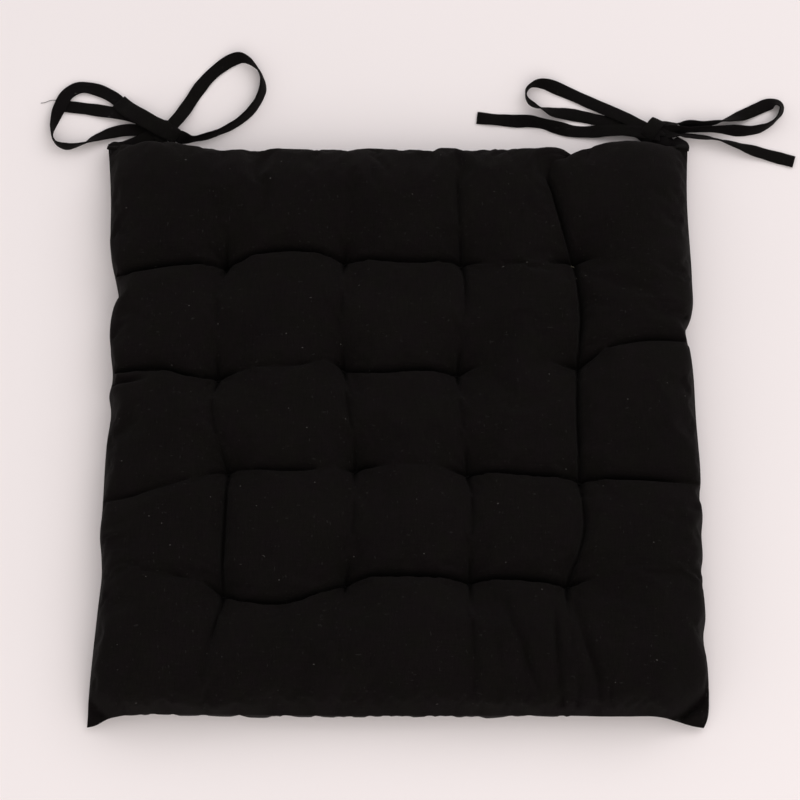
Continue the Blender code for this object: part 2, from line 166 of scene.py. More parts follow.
COLUMN_CREASES = (
    ((-200, -126, 0), (-180, -126, 0.3), (-165, -124, 1.5), (-150, -120, 3.5), (-135, -117, 5),
     (-117, -114, 6.5), (-100, -114.5, 6), (-80, -114, 6), (-55, -113, 6), (-39, -112.5, 6),
     (-20, -119, 3.5), (0, -123, 3), (20, -123, 3.5), (39, -120, 6), (58, -121.5, 2), (78, -121.5, 1.8),
     (98, -119, 2.2), (117, -116, 6), (140, -116, 0.3), (200, -116, 0)),
    ((-200, -36, 0), (-145, -36, 0.6), (-130, -36, 2.2), (-117, -35, 6), (-100, -32, 2.4),
     (-80, -30.5, 2.4), (-58, -30, 3), (-39, -29.5, 6), (-20, -30.5, 3), (0, -34, 2.8), (25, -36, 3.5),
     (39, -37, 6), (58, -38.5, 2.2), (78, -39, 1.8), (98, -38.5, 2), (117, -37, 6), (130, -37, 0.5),
     (200, -37, 0)),
    ((-200, 46, 0.4), (-165, 46, 0.8), (-145, 45.5, 2), (-130, 45, 4), (-117, 45, 6), (-100, 45.5, 2.8),
     (-80, 46.5, 2.8), (-55, 46, 4.2), (-39, 44, 6), (-20, 42.5, 2.6), (0, 40, 2.4), (20, 38.5, 3),
     (39, 38, 6), (62, 40, 2), (85, 43, 3.5), (100, 43, 5), (117, 41, 6), (140, 39.5, 3.2), (160, 38.5, 3),
     (180, 38, 1), (200, 38, 0.5)),
    ((-200, 110, 0), (-165, 109, 0.5), (-145, 108, 2), (-130, 107, 4.5), (-117, 108, 7), (-98, 115, 5),
     (-80, 119, 5), (-58, 118.5, 5), (-39, 117.5, 7), (-20, 117, 6), (0, 116.5, 6), (20, 117, 6.5),
     (39, 118, 7.5), (58, 119.5, 7.5), (78, 120.5, 7.5), (98, 118.5, 7), (117, 116, 7), (130, 112, 7),
     (145, 108.5, 7), (166, 103.5, 6.5), (180, 100.5, 3.0), (188, 107, 0.8), (194, 118, 1.5),
     (200, 124, 2.5)),
)

# Loose wrinkles, in mm: x, y and depth along each, and its half width.
WRINKLES = (
    (((-193, 23, 4.5), (-180, 23, 4.0), (-166, 23.5, 0.6)), 1.8),
    (((179, 66, 0.2), (188, 70, 1.6), (195, 74, 1.6)), 2.0),
    (((99, -134, 0.8), (99, -152, 2.6), (100, -169, 2.4), (104, -195, 2.0)), 2.4),
    (((111, -128, 1.6), (115, -145, 2.0), (120, -163, 2.6), (126, -181, 2.6), (128, -198, 2.0)), 2.8),
    (((66, -130, 0.6), (71, -145, 1.3), (77, -158, 1.7), (84, -178, 1.8), (91, -193, 1.0)), 2.8),
    (((58, -150, 0.1), (62, -165, 1.0), (66, -185, 0.5)), 3.0),
    (((132, -178, 0.3), (134, -190, 2.0), (135, -199, 1.4)), 2.0),
    (((112, -176, 0.2), (114, -188, 1.8), (113, -199, 1.2)), 1.8),
    (((23, 196, 1.5), (22, 186, 1.2), (21, 174, 0.2)), 2.2),
    (((60, 196, 1.4), (62, 186, 1.0), (65, 177, 0.2)), 2.2),
    (((72, 196, 1.2), (74, 186, 0.8), (77, 178, 0.1)), 2.2),
    (((117, 197, 2.2), (113, 188, 1.8), (109, 176, 0.2)), 2.2),
    (((129, 197, 1.8), (127, 188, 1.2), (124, 178, 0.2)), 2.2),
    (((-101, 197, 1.6), (-101, 190, 0.8), (-100, 184, 0.1)), 3.0),
    (((-130, 120, 0.2), (-124, 116, 1.4), (-117, 110, 2.0)), 2.2),
)

# Each tie from its root to its free end: x, y, z in mm, and the roll in degrees, 0 flat and 90 on its edge.
LEFT_OUTER = (
    (-189, 206.3, 1.4, 0), (-181, 210, 1.0, 0), (-171, 214.5, 1.0, 0), (-163, 218, 1.0, 0),
    (-157.5, 220.3, 1.05, 0), (-156.6, 220.7, 1.7, 0), (-157.5, 220.6, 2.35, 0),
    (-163, 222.5, 2.4, 0), (-175, 228.5, 2.4, 0), (-189, 237.5, 2.4, 0), (-200, 246, 2.2, 0),
    (-211, 251, 2.0, 0), (-221.5, 252, 2.2, 0), (-229.5, 246.5, 3.2, 5), (-234, 237, 4.3, 15),
    (-237, 228, 4.7, 50), (-239, 217, 5.0, 88), (-235.5, 208.5, 5.0, 90), (-228, 206, 5.0, 90),
    (-217, 208.5, 4.9, 70), (-208, 213, 3.8, 35), (-199, 216.8, 3.1, 8), (-190, 218.8, 3.4, 0),
    (-180, 219, 3.8, 0), (-170, 219, 3.8, 0), (-163, 219.5, 3.8, 0),
    (-158.5, 220, 3.85, 0), (-157.6, 220.3, 4.5, 0), (-158.5, 220.6, 5.15, 0),
    (-164, 222, 5.2, 0), (-173, 225.5, 5.2, 0), (-188, 230, 4.6, 0), (-202, 233.5, 2.4, 0),
    (-214, 236, 1.2, 0), (-225, 237.5, 1.1, 0), (-233.5, 238.5, 1.1, 0),
)
LEFT_INNER = (
    (-189, 206.3, 3.2, 0), (-181, 209, 4.6, 0), (-172, 212.5, 6.4, 0), (-163, 214.5, 6.6, 0),
    (-155, 213.8, 6.6, 0), (-151.5, 212.8, 6.4, 12), (-148, 211.9, 5.8, 45), (-143, 211.5, 5.1, 82),
    (-135, 213, 5.0, 88),
    (-124, 217, 5.0, 86), (-112, 224, 4.9, 78), (-102, 234, 4.7, 70), (-96.5, 244, 4.6, 66),
    (-94.5, 253, 4.6, 66), (-97, 262.5, 4.7, 74), (-102.5, 270, 4.8, 92), (-110, 274, 4.4, 120),
    (-117, 272.5, 3.2, 150), (-125.5, 267, 1.8, 170), (-134, 258.5, 1.2, 180), (-141, 247.5, 2.0, 160),
    (-146.5, 237, 3.8, 165), (-151, 228.5, 6.4, 180), (-156, 221, 8.0, 180), (-160.5, 214, 8.0, 180),
    (-165, 207.5, 8.0, 180),
)
RIGHT_OUTER = (
    (190.5, 206.3, 1.4, 0), (185, 207.5, 1.0, 0), (177, 211, 1.0, 0), (170, 215, 1.0, 0),
    (164, 218.5, 1.05, 0), (163.1, 219.0, 1.7, 0), (164, 219.0, 2.35, 0),
    (170, 220, 2.4, 0), (178, 221.5, 2.6, 0), (187, 222.8, 3.9, -45), (196, 223, 5.0, -90),
    (207, 223, 5.0, -90), (217, 224, 5.0, -80), (227, 227, 3.8, -45), (237, 231.5, 1.7, -10),
    (247, 236.5, 1.2, 0), (254, 239.5, 1.3, 0), (260, 239.3, 2.8, -30), (262.5, 234.5, 4.7, -70),
    (259.5, 228, 5.0, -90), (254, 222.5, 5.0, -90), (246, 219, 4.9, -75), (237, 218, 4.4, -60),
    (227, 218.5, 4.6, -65), (217, 219, 5.0, -85), (207, 219, 5.0, -90), (197, 218.5, 5.0, -90),
    (188, 218, 4.6, -50), (180, 217.5, 3.9, 0), (172, 217.5, 3.8, 0),
    (166, 218, 3.85, 0), (165.1, 218.2, 4.5, 0), (166, 218.2, 5.15, 0),
    (172, 217, 5.2, 0), (180, 215.5, 5.4, 0), (188, 214.5, 5.6, -45), (196, 214, 5.2, -80),
    (206, 213, 5.0, -80), (216, 211.5, 4.8, -70), (226, 209, 4.2, -50), (238, 205.3, 2.6, -25),
    (252, 201.2, 1.3, -5), (270, 196, 1.1, 0),
)
RIGHT_INNER = (
    (190.5, 206.3, 3.6, 0), (187.5, 206.8, 4.8, 0), (184, 207.8, 6.4, 0), (177, 211, 6.8, 0),
    (169, 215, 6.7, 0),
    (161, 218, 6.4, 0), (151, 222, 4.8, 0), (142, 225.5, 2.6, 0), (131, 229, 1.2, 0),
    (117, 232, 1.2, 0), (103, 233.5, 2.6, 30), (94, 236.5, 4.9, 80), (87.8, 241.5, 5.0, 90),
    (87, 248.3, 5.0, 90), (91.5, 253.2, 5.0, 90), (99, 254, 4.4, 60), (110, 250.7, 2.2, 20),
    (122, 245.4, 1.2, 0), (134, 239, 2.0, 0), (146, 232, 4.6, 0), (157, 225, 7.4, 0),
    (165, 220, 8.0, 0), (172, 215.8, 8.0, 0),
    (177, 212.8, 8.05, 0), (178.0, 212.3, 8.7, 0), (177, 212.4, 9.35, 0),
    (170, 213.5, 9.4, 0), (161, 215.5, 9.0, 0), (152, 217, 7.6, 0), (142, 218, 4.8, 0),
    (131, 218.3, 2.2, 0), (120, 219, 1.3, 0), (108, 221, 2.6, 35), (98, 223.5, 4.0, 60),
    (90, 225.4, 3.8, 50), (80, 226.5, 2.0, 15), (67, 228, 1.1, 0), (53, 229.5, 1.1, 0),
)

# The turns of tie that close the two knots, the sewn-in roots of the ties, and the threads that hang off
# the left tie's end (x, y and z in mm).
LEFT_BAND = (
    (-194, 240.5, 3.4, 0), (-190, 236.5, 4.6, 0), (-185, 231.5, 7.6, 0), (-178, 226.3, 9.3, 0),
    (-169, 220.6, 9.9, 0), (-161, 215.8, 9.9, 0), (-156, 213.0, 9.5, 0), (-153.6, 211.7, 8.4, 0),
    (-153.4, 211.6, 6.6, 0), (-155.4, 212.5, 5.4, 0),
)
RIGHT_BAND = (
    (178, 225.2, 5.0, 0), (177, 223.3, 9.0, 0), (174, 219, 10.9, 0), (170.8, 214.4, 10.8, 0),
    (168.6, 211.2, 9.6, 0), (167.4, 209.6, 7.2, 0), (167.2, 209.3, 4.8, 0),
)
LEFT_ROOT = (
    (-195.5, 198.5, 15.5, 0), (-195, 201.0, 13.5, 0), (-194, 203.6, 9.0, 0), (-191.5, 205.2, 4.6, 0),
    (-187.5, 206.8, 2.4, 0),
)
RIGHT_ROOT = (
    (192.5, 198.5, 15.5, 0), (192.8, 201.0, 13.8, 0), (192.6, 203.8, 10.4, 0), (190.8, 206.4, 7.4, 0),
    (187.5, 209.5, 5.6, 0),
)
LEFT_FRAYS = (
    ((-231, 241.5, 1.6), (-236, 243, 0.6), (-241, 243.2, 0.5), (-245, 241.5, 0.5), (-248, 241, 0.5)),
    ((-232, 236.5, 1.4), (-236, 234.5, 0.5), (-238.5, 231.5, 0.5)),
)


# ---------------------------------------------------------------- camera, floor, light
def add_camera():
    data = bpy.data.cameras.new("photo_camera")
    data.lens, data.sensor_width = 148.5, 36.0
    data.clip_end = 20
    camera = bpy.data.objects.new("photo_camera", data)
    tilt, distance = math.radians(21.0), 2.2
    target = Vector((0.0, 0.0217, 0.0))
    camera.location = target + distance * Vector((0, -math.sin(tilt), math.cos(tilt)))
    camera.rotation_euler = Euler((tilt, 0, 0))
    bpy.context.scene.collection.objects.link(camera)
    bpy.context.scene.camera = camera


def link(obj):
    bpy.context.scene.collection.objects.link(obj)
    return obj


def mesh_object(name, verts, faces, material=None):
    mesh = bpy.data.meshes.new(name)
    mesh.from_pydata([tuple(v) for v in verts], [], [tuple(f) for f in faces])
    mesh.polygons.foreach_set("use_smooth", [True] * len(mesh.polygons))
    if material is not None:
        mesh.materials.append(material)
    mesh.update()
    return link(bpy.data.objects.new(name, mesh))


def add_floor(material):
    half_side, cells = 3.0, 24
    lines = np.linspace(-half_side, half_side, cells + 1)
    verts = [(x, y, 0.0) for y in lines for x in lines]
    row = cells + 1
    corners = [j * row + i for j in range(cells) for i in range(cells)]
    faces = [(c, c + 1, c + row + 1, c + row) for c in corners]
    mesh_object("pale_floor", verts, faces, material)


def add_softbox(name, energy, location, color):
    """A square light that faces the middle of the pad."""
    data = bpy.data.lights.new(name, "AREA")
    data.energy, data.size, data.color = energy, 2.2, color
    light = link(bpy.data.objects.new(name, data))
    light.location = location
    light.rotation_euler = (-Vector(location)).to_track_quat("-Z", "Y").to_euler()


def add_lights():
    world = bpy.data.worlds.new("soft_room")
    bpy.context.scene.world = world
    world.use_nodes = True
    background = world.node_tree.nodes["Background"]
    background.inputs["Color"].default_value = (1.0, 0.985, 0.985, 1)
    background.inputs["Strength"].default_value = 0.70
    add_softbox("softbox_front", 29, (0.40, -1.9, 2.2), (1.0, 0.955, 0.91))
    add_softbox("softbox_rear_right", 22, (1.6, 1.5, 2.3), (0.98, 0.98, 1.0))


# ---------------------------------------------------------------- materials
class Nodes:
    """Short names for building one material's nodes."""

    def __init__(self, name):
        self.material = bpy.data.materials.new(name)
        self.material.use_nodes = True
        self.tree = self.material.node_tree
        self.shader = self.tree.nodes["Principled BSDF"]

    def add(self, kind, **settings):
        node = self.tree.nodes.new(kind)
        for key, value in settings.items():
            setattr(node, key, value)
        return node

    def wire(self, output, target):
        self.tree.links.new(output, target)

    def math(self, operation, a, b=None):
        node = self.add("ShaderNodeMath", operation=operation)
        for socket, value in zip(node.inputs, (a, b)):
            if value is None:
                continue
            if isinstance(value, (int, float)):
                socket.default_value = value
            else:
                self.wire(value, socket)
        return node.outputs[0]

    def noise(self, vector, scale, detail, roughness=0.55):
        node = self.add("ShaderNodeTexNoise")
        node.inputs["Scale"].default_value = scale
        node.inputs["Detail"].default_value = detail
        node.inputs["Roughness"].default_value = roughness
        self.wire(vector, node.inputs["Vector"])
        return node.outputs["Fac"]

    def stretched(self, vector, scale):
        node = self.add("ShaderNodeMapping")
        node.inputs["Scale"].default_value = scale
        self.wire(vector, node.inputs["Vector"])
        return node.outputs[0]

    def ramp(self, value, stops):
        node = self.add("ShaderNodeValToRGB")
        elements = node.color_ramp.elements
        while len(elements) < len(stops):
            elements.new(0.5)
        for element, (position, color) in zip(elements, stops):
            element.position = position
            element.color = (*color, 1)
        self.wire(value, node.inputs["Fac"])
        return node.outputs["Color"]

    def mix(self, factor, a, b, blend="MIX"):
        node = self.add("ShaderNodeMix", data_type="RGBA", blend_type=blend)
        for name, value in (("Factor", factor), ("A", a), ("B", b)):
            if isinstance(value, (float, tuple)):
                node.inputs[name].default_value = value
            else:
                self.wire(value, node.inputs[name])
        return node.outputs["Result"]

    def bump(self, height, strength, distance):
        node = self.add("ShaderNodeBump")
        node.inputs["Strength"].default_value = strength
        node.inputs["Distance"].default_value = distance
        self.wire(height, node.inputs["Height"])
        self.wire(node.outputs["Normal"], self.shader.inputs["Normal"])

    def surface(self, **values):
        """Sets the shader's constant inputs, named with underscores for spaces."""
        for name, value in values.items():
            self.shader.inputs[name.replace("_", " ")].default_value = value


def cotton(name, dark, light, sheen):
    """Black plain weave: warp and weft, slubs, cloudy dye and stray lint."""
    n = Nodes(name)
    place = n.add("ShaderNodeTexCoord").outputs["Object"]
    parts = n.add("ShaderNodeSeparateXYZ")
    n.wire(place, parts.inputs[0])
    turn = 2 * math.pi / WEAVE_PITCH
    warp = n.math("SINE", n.math("MULTIPLY", parts.outputs["X"], turn))
    weft = n.math("SINE", n.math("MULTIPLY", parts.outputs["Y"], turn))
    weave = n.math("MULTIPLY", warp, weft)
    slub_x = n.noise(n.stretched(place, (90, 1400, 500)), 1.0, 2.0)
    slub_y = n.noise(n.stretched(place, (1400, 90, 500)), 1.0, 2.0)
    slubs = n.math("ADD", slub_x, slub_y)
    cloud = n.noise(place, 22.0, 4.0, 0.6)
    tone = n.math("ADD", n.math("MULTIPLY", slubs, 0.40), n.math("MULTIPLY", cloud, 0.35))
    color = n.ramp(tone, ((0.30, dark), (0.78, light)))
    red, green = (1.04, 0.94, 1.06), (0.98, 1.08, 0.90)
    hue = n.ramp(n.noise(place, 60.0, 3.0, 0.6), ((0.36, red), (0.64, green)))
    color = n.mix(1.0, color, hue, "MULTIPLY")
    fibre_spot = n.noise(n.stretched(place, (260, 900, 700)), 1.0, 0.0)
    fibre_turned = n.noise(n.stretched(place, (900, 300, 700)), 1.0, 0.0)
    fibre = n.math("MAXIMUM", fibre_spot, fibre_turned)
    fibres = n.ramp(fibre, ((0.80, (0, 0, 0)), (0.86, (0.5, 0.5, 0.5))))
    color = n.mix(fibres, color, (0.016, 0.015, 0.014, 1))
    fuzz = n.noise(place, 900.0, 2.0)
    lint_spot = n.noise(n.stretched(place, (420, 560, 480)), 1.0, 0.0)
    lint = n.ramp(lint_spot, ((0.874, (0, 0, 0)), (0.906, (1, 1, 1))))
    color = n.mix(lint, color, (0.045, 0.042, 0.039, 1))
    n.wire(color, n.shader.inputs["Base Color"])
    rough = n.math("ADD", n.math("MULTIPLY", fuzz, 0.16), 0.80)
    n.wire(rough, n.shader.inputs["Roughness"])
    height = n.math("ADD", n.math("MULTIPLY", weave, 0.30), n.math("MULTIPLY", slubs, 1.1))
    height = n.math("ADD", height, n.math("MULTIPLY", fuzz, 0.5))
    n.bump(height, 0.55, 0.00022)
    n.surface(
        Specular_IOR_Level=0.06, Sheen_Weight=sheen, Sheen_Roughness=0.55, Sheen_Tint=(1.0, 0.93, 0.90, 1)
    )
    return n.material


def thread_material(name, dark, light):
    n = Nodes(name)
    place = n.add("ShaderNodeTexCoord").outputs["Object"]
    ply = n.noise(n.stretched(place, (2600, 2600, 900)), 1.0, 1.0)
    n.wire(n.ramp(ply, ((0.3, dark), (0.8, light))), n.shader.inputs["Base Color"])
    n.bump(ply, 0.5, 0.0001)
    n.surface(Roughness=0.62, Specular_IOR_Level=0.2)
    return n.material


def wadding_material():
    n = Nodes("white_wadding")
    place = n.add("ShaderNodeTexCoord").outputs["Object"]
    fibre = n.noise(n.stretched(place, (300, 300, 900)), 1.0, 5.0, 0.7)
    color = n.ramp(fibre, ((0.3, (0.62, 0.61, 0.57)), (0.7, (0.84, 0.83, 0.80))))
    n.wire(color, n.shader.inputs["Base Color"])
    n.bump(fibre, 1.0, 0.001)
    n.surface(Roughness=0.95)
    return n.material


def floor_material():
    n = Nodes("pale_surface")
    place = n.add("ShaderNodeTexCoord").outputs["Object"]
    cloud = n.noise(place, 1.3, 2.0)
    color = n.ramp(cloud, ((0.2, (0.845, 0.785, 0.785)), (0.8, (0.875, 0.815, 0.815))))
    n.wire(color, n.shader.inputs["Base Color"])
    n.surface(Roughness=0.75, Specular_IOR_Level=0.15)
    return n.material


# ---------------------------------------------------------------- the pad's shape
def panel_lines():
    """Lines of the cloth grid, with one exactly at each row and column of tufts."""
    marks = (-HALF, *TUFT_LINES, HALF)
    counts = (25, 24, 24, 24, 25)
    lines = [np.linspace(a, b, n, endpoint=False) for a, b, n in zip(marks, marks[1:], counts)]
    return np.concatenate(lines + [np.array([HALF])])


def along_table(at, table, column=1):
    """A smooth curve through one column of a table, read at the given places; in metres."""
    knots = np.array([row[0] for row in table], float) * MM
    values = np.array([row[column] for row in table], float) * MM
    slopes = np.gradient(values, knots)
    at = np.clip(at, knots[0], knots[-1])
    k = np.clip(np.searchsorted(knots, at, side="right") - 1, 0, len(knots) - 2)
    width = knots[k + 1] - knots[k]
    u = (at - knots[k]) / width
    blend = (2 * u**3 - 3 * u**2 + 1) * values[k] + (3 * u**2 - 2 * u**3) * values[k + 1]
    return blend + width * ((u**3 - 2 * u**2 + u) * slopes[k] + (u**3 - u**2) * slopes[k + 1])


def hat(distance, width):
    return np.where(np.abs(distance) < width, np.cos(np.pi * distance / (2 * width)) ** 2, 0)


def frame_point(s, t):
    """A panel point on the finished outline, before the creases pull it."""
    right, left = along_table(t, OUTLINE["right"]), along_table(t, OUTLINE["left"])
    rear, front = along_table(s, OUTLINE["rear"]), along_table(s, OUTLINE["front"])
    u, v = 0.5 + s / (2 * HALF), 0.5 + t / (2 * HALF)
    return left * (1 - u) + right * u, front * (1 - v) + rear * v


def plan(s, t):
    """A panel point of the finished pad, seen from above: the tuft lines follow the creases."""
    x, y = frame_point(s, t)
    pitch = TUFT_LINES[1] - TUFT_LINES[0]
    dx, dy = np.zeros_like(x), np.zeros_like(y)
    for line, crease in zip(TUFT_LINES, COLUMN_CREASES):
        dx += (along_table(t, crease) - frame_point(np.full_like(t, line), t)[0]) * hat(s - line, pitch)
    for line, crease in zip(TUFT_LINES, ROW_CREASES):
        dy += (along_table(s, crease) - frame_point(s, np.full_like(s, line))[1]) * hat(t - line, pitch)
    x_ease = np.clip((HALF - np.abs(s)) / EDGE_EASE, 0, 1)
    y_ease = np.clip((HALF - np.abs(t)) / EDGE_EASE, 0, 1)
    return x + dx * x_ease, y + dy * y_ease


def folds(s, t, shape):
    """How deep the creases are at each point, given the shape of one across its line."""
    depth = np.zeros_like(s)
    for line, crease in zip(TUFT_LINES, COLUMN_CREASES):
        depth = np.maximum(depth, along_table(t, crease, 2) * shape(np.abs(s - line)))
    for line, crease in zip(TUFT_LINES, ROW_CREASES):
        depth = np.maximum(depth, along_table(s, crease, 2) * shape(np.abs(t - line)))
    return depth


def shoulder(distance, width):
    share = np.clip(distance / width, 0, 1)
    return np.sqrt(1 - (1 - share) ** 2)


def ear_reach(s, t):
    reach = np.zeros_like(s)
    for (sx, sy), length in EARS.items():
        reach = np.where((s * sx >= 0) & (t * sy >= 0), length, reach)
    return reach


def rounding(s, t, width):
    """0 at the seam and in the flat ears, 1 where the pad has its full height."""
    dx, dy = HALF - np.abs(s), HALF - np.abs(t)
    corner = (dx + dy - ear_reach(s, t)) / math.sqrt(2)
    return shoulder(dx, width) * shoulder(dy, width) * shoulder(corner, 0.75 * width)


def tuft_distance(s, t):
    across = np.min([np.abs(s - line) for line in TUFT_LINES], axis=0)
    along = np.min([np.abs(t - line) for line in TUFT_LINES], axis=0)
    return np.hypot(across, along)


def start_shape(s, t):
    """The two panels before the cloth settles: (top, bottom), each an array of points."""
    x, y = plan(s, t)
    away = tuft_distance(s, t)
    dip = (TOP_RISE + SEAM_Z - TUFT_TOP_Z) * np.exp(-away / TUFT_SPREAD_TOP)
    valley = np.maximum(dip, folds(s, t, lambda u: 0.95 * np.exp(-((u / 0.007) ** 1.4))))
    top = SEAM_Z + (TOP_RISE - valley) * rounding(s, t, TOP_SHOULDER)
    lift = (TUFT_BOTTOM_Z - SEAM_Z + BOTTOM_DROP) * np.exp(-away / TUFT_SPREAD_BOTTOM)
    bottom = SEAM_Z - (BOTTOM_DROP - lift) * rounding(s, t, BOTTOM_SHOULDER)
    gap = PANEL_GAP * (np.maximum(np.abs(s), np.abs(t)) < HALF - 1e-6)
    for side, along, point in ((s, t, x), (t, s, y)):
        out = np.sin(np.pi * np.clip((HALF - np.abs(side)) / SWELL_WIDTH, 0, 1)) ** 1.3
        point += np.sign(side) * SWELL * out * np.clip((HALF - np.abs(along)) / SWELL_EASE, 0, 1)
    droop = np.zeros_like(s)
    for (sx, sy), (fall, reach) in EAR_DROOP.items():
        droop += fall * np.exp(-(((HALF - s * sx) ** 2 + (HALF - t * sy) ** 2) / reach**2))
    return np.stack([x, y, top + gap - droop], -1), np.stack([x, y, bottom - gap - droop], -1)


def panel_mesh(top, bottom):
    """One closed cloth of both panels, and where each panel's points are in it."""
    n = len(top)
    top_ids = np.arange(n * n).reshape(n, n)
    bottom_ids = top_ids.copy()
    inner = (n - 2) * (n - 2)
    bottom_ids[1:-1, 1:-1] = n * n + np.arange(inner).reshape(n - 2, n - 2)
    verts = np.concatenate([top.reshape(-1, 3), bottom[1:-1, 1:-1].reshape(-1, 3)])

    def quads(ids, flip):
        a, b, c, d = ids[:-1, :-1], ids[:-1, 1:], ids[1:, 1:], ids[1:, :-1]
        order = (d, c, b, a) if flip else (a, b, c, d)
        return np.stack([v.ravel() for v in order], 1)

    return verts, np.concatenate([quads(top_ids, False), quads(bottom_ids, True)]), top_ids, bottom_ids


def settle_cloth(top, bottom, lines):
    """Inflates the sewn panels with the tufts and creases held, and returns the settled panels."""
    verts, faces, top_ids, bottom_ids = panel_mesh(top, bottom)
    cloth = mesh_object("pad_cloth", verts, faces)
    held = cloth.vertex_groups.new(name="held")
    seam = cloth.vertex_groups.new(name="seam")
    s, t = np.meshgrid(lines, lines)
    grip = folds(s, t, lambda u: np.exp(-((u / CREASE_GRIP_WIDTH) ** 2)))
    grip = np.clip(grip / DEEP_CREASE, 0, 1) * CREASE_GRIP
    for (j, i), weight in np.ndenumerate(grip):
        if weight > LEAST_GRIP:
            held.add([int(top_ids[j, i])], float(weight), "REPLACE")
    marks = [int(np.argmin(np.abs(lines - line))) for line in TUFT_LINES]
    for j in marks:
        for i in marks:
            held.add([int(top_ids[j, i]), int(bottom_ids[j, i])], 1.0, "REPLACE")
    rim = np.unique(np.concatenate([top_ids[0], top_ids[-1], top_ids[:, 0], top_ids[:, -1]]))
    for group in (seam, held):
        group.add([int(v) for v in rim], 1.0, "REPLACE")
    flat = (HALF - np.abs(s)) + (HALF - np.abs(t)) < 0.9 * ear_reach(s, t)
    held.add([int(v) for v in np.concatenate([top_ids[flat], bottom_ids[flat]])], EAR_GRIP, "REPLACE")
    modifier = cloth.modifiers.new("cloth", "CLOTH")
    settings = modifier.settings
    settings.quality = 7
    settings.mass = 0.25
    settings.tension_stiffness = 18
    settings.compression_stiffness = 12
    settings.shear_stiffness = 4
    settings.bending_stiffness = 0.35
    settings.vertex_group_mass = "held"
    settings.pin_stiffness = 1
    settings.vertex_group_shrink = "seam"
    settings.shrink_min = -0.022
    settings.shrink_max = -0.01
    settings.use_pressure = True
    settings.uniform_pressure_force = 2.4
    settings.effector_weights.gravity = 0
    modifier.collision_settings.use_collision = False
    modifier.point_cache.frame_start, modifier.point_cache.frame_end = 1, CLOTH_FRAMES
    for number in range(1, CLOTH_FRAMES + 1):
        bpy.context.scene.frame_set(number)
    settled = cloth.evaluated_get(bpy.context.evaluated_depsgraph_get())
    points = np.zeros(len(verts) * 3, np.float32)
    settled.data.vertices.foreach_get("co", points)
    points = points.reshape(-1, 3).astype(float)
    bpy.context.scene.frame_set(1)
    bpy.data.objects.remove(cloth, do_unlink=True)
    step = points - verts
    reach = np.linalg.norm(step, axis=1, keepdims=True)
    points = verts + step * np.minimum(1, MOST_SETTLING / np.maximum(reach, 1e-9))
    return points[top_ids], points[bottom_ids]


def fine_places(lines):
    """Where the finer grid's lines lie among the cloth's lines: closest together along the creases."""
    places = set(np.arange(0, len(lines) - 0.75, 0.5))
    for line in TUFT_LINES:
        middle = int(np.argmin(np.abs(lines - line)))
        for step in (0.1, 0.22, 0.36, 0.52, 0.74):
            places |= {middle - step, middle + step}
        places -= {middle - 0.5, middle + 0.5}
    return np.array(sorted(places))


def resample(grid, places):
    """The grid read at fractional places along both directions, on smooth curves."""
    for axis in (0, 1):
        g = np.moveaxis(grid, axis, 0)
        g = np.concatenate([2 * g[:1] - g[1:2], g, 2 * g[-1:] - g[-2:-1]])
        k = np.minimum(places.astype(int), len(g) - 4)
        u = (places - k).reshape(-1, *([1] * (g.ndim - 1)))
        a, b, c, d = g[k], g[k + 1], g[k + 2], g[k + 3]
        bend, twist = 2 * a - 5 * b + 4 * c - d, 3 * b - a - 3 * c + d
        out = 0.5 * (2 * b + (c - a) * u + bend * u**2 + twist * u**3)
        grid = np.moveaxis(out, 0, axis)
    return grid


def line_depth(points, line, half_width):
    """How deep a wrinkle along a line is at each point."""
    line = np.array(line, float) * MM
    best = np.zeros(points.shape[:-1])
    for a, b in zip(line, line[1:]):
        run = b[:2] - a[:2]
        share = np.clip(((points[..., :2] - a[:2]) @ run) / (run @ run), 0, 1)
        gap = np.linalg.norm(points[..., :2] - (a[:2] + share[..., None] * run), axis=-1)
        depth = a[2] + share * (b[2] - a[2])
        best = np.maximum(best, depth * np.exp(-((gap / (half_width * MM)) ** 1.4)))
    return best


def field(x, y, scale, seed):
    """Smooth noise read over a grid."""
    flat = [noise.noise(Vector((a * scale, b * scale, seed))) for a, b in zip(x.ravel(), y.ravel())]
    return np.array(flat).reshape(x.shape)


